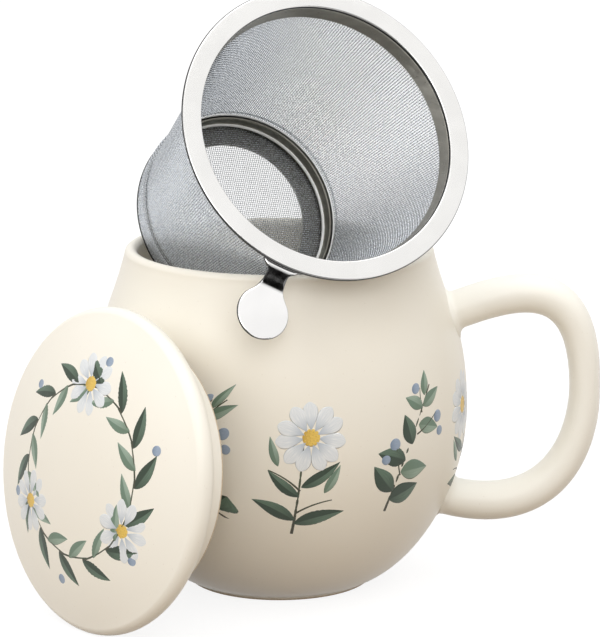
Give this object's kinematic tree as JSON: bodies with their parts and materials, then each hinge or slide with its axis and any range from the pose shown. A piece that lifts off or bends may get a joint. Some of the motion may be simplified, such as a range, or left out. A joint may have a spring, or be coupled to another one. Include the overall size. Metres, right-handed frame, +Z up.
{
  "type": "lidded tea mug with infuser",
  "caption": "Pot-bellied ceramic tea mug with a looped handle, a lift-out steel mesh infuser tipped in its mouth and a loose domed lid leaning on its side.",
  "frame": {"origin": "middle of the mug's flat foot, on the table", "axes": "+Z up along the mug's axis, +X towards the handle, -Y towards the side that the lid and the tipped infuser face"},
  "size_m": [0.1679, 0.1379, 0.1701],
  "materials": {
    "cream_glaze": "satin matte glaze",
    "polished_steel": "polished",
    "woven_steel": "fine woven wire",
    "band_steel": "plain pressed sheet"
  },
  "bodies": {
    "mug": {"mug_body": "cream_glaze", "mug_handle": "cream_glaze"},
    "lid": {"lid": "cream_glaze"},
    "infuser": {"rim_ring": "polished_steel", "collar_band": "band_steel", "side_mesh": "woven_steel", "side_seam": "band_steel", "base_ring": "band_steel", "base_band": "band_steel", "base_mesh": "woven_steel", "thumb_tab": "polished_steel"}
  },
  "joints": [
    {"name": "lid_lift_away", "type": "slide", "parent": "mug", "child": "lid", "axis": [-0.7562, -0.6345, 0.1599], "range_m": [0, 0.12]},
    {"name": "infuser_lift_out", "type": "slide", "parent": "mug", "child": "infuser", "axis": [0, 0, 1], "range_m": [0, 0.1]}
  ]
}
